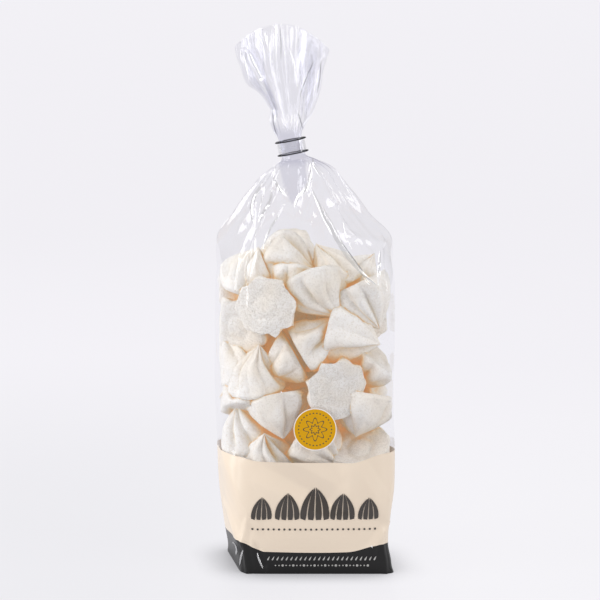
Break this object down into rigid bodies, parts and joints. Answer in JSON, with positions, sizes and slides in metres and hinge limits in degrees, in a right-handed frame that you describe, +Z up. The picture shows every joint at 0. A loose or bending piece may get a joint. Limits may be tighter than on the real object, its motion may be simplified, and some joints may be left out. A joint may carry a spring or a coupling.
{
  "type": "bag of meringue cookies",
  "caption": "Clear block-bottom bag filled with small piped meringues, with a printed foot, a round sticker, and a pleated top gathered into a neck and shut by a clip.",
  "frame": {"origin": "on the floor, under the middle of the bag", "axes": "+Z up, the bag's printed front towards -Y, +X to the right of its front"},
  "size_m": [0.1021, 0.0657, 0.307],
  "materials": {
    "film": "clear glossy film",
    "cream_print": "opaque glossy print on film",
    "black_print": "opaque glossy print on film",
    "meringue": "dry and matte, finely porous",
    "sticker": "satin printed paper",
    "clip_strip": "clear glossy strip",
    "clip_wire": "dark lacquered wire"
  },
  "bodies": {
    "root": {"bag": "film", "sticker": "sticker", "clip_strip": "clip_strip", "clip_wire_lower": "clip_wire", "clip_wire_upper": "clip_wire"}
  },
  "joints": []
}
